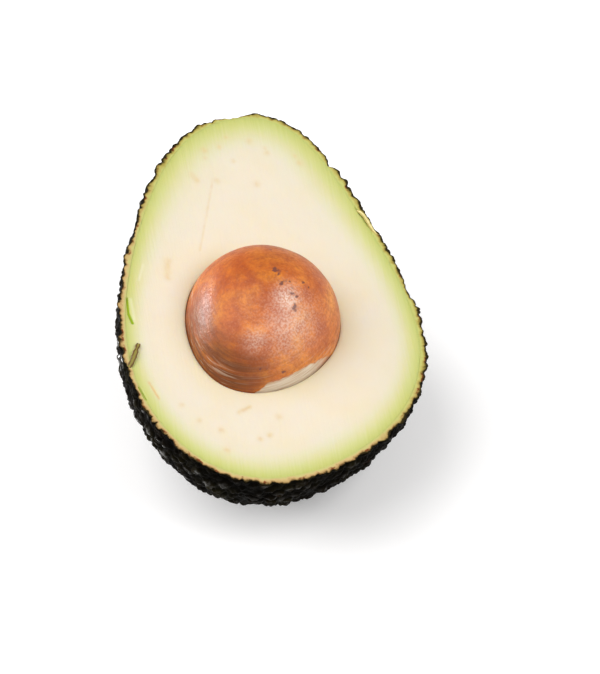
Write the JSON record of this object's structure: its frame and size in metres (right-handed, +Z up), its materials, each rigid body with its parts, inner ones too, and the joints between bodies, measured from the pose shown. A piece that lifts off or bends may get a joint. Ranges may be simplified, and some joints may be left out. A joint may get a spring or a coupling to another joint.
{
  "type": "avocado half",
  "caption": "Avocado half lying on its skin with the cut face up: dark pebbled skin, pale flesh and a round seed half sunk in it.",
  "frame": {"origin": "middle of the flat spot on the skin that the half rests on", "axes": "+Z up from the surface it rests on, +Y toward the stem end, +X to the right of the cut face"},
  "size_m": [0.0705, 0.1063, 0.0496],
  "materials": {
    "skin": "pebbled, slightly glossy",
    "flesh": "moist, satin",
    "seed": "smooth, satin"
  },
  "bodies": {
    "root": {"skin": "skin", "flesh": "flesh", "seed": "seed"}
  },
  "joints": []
}
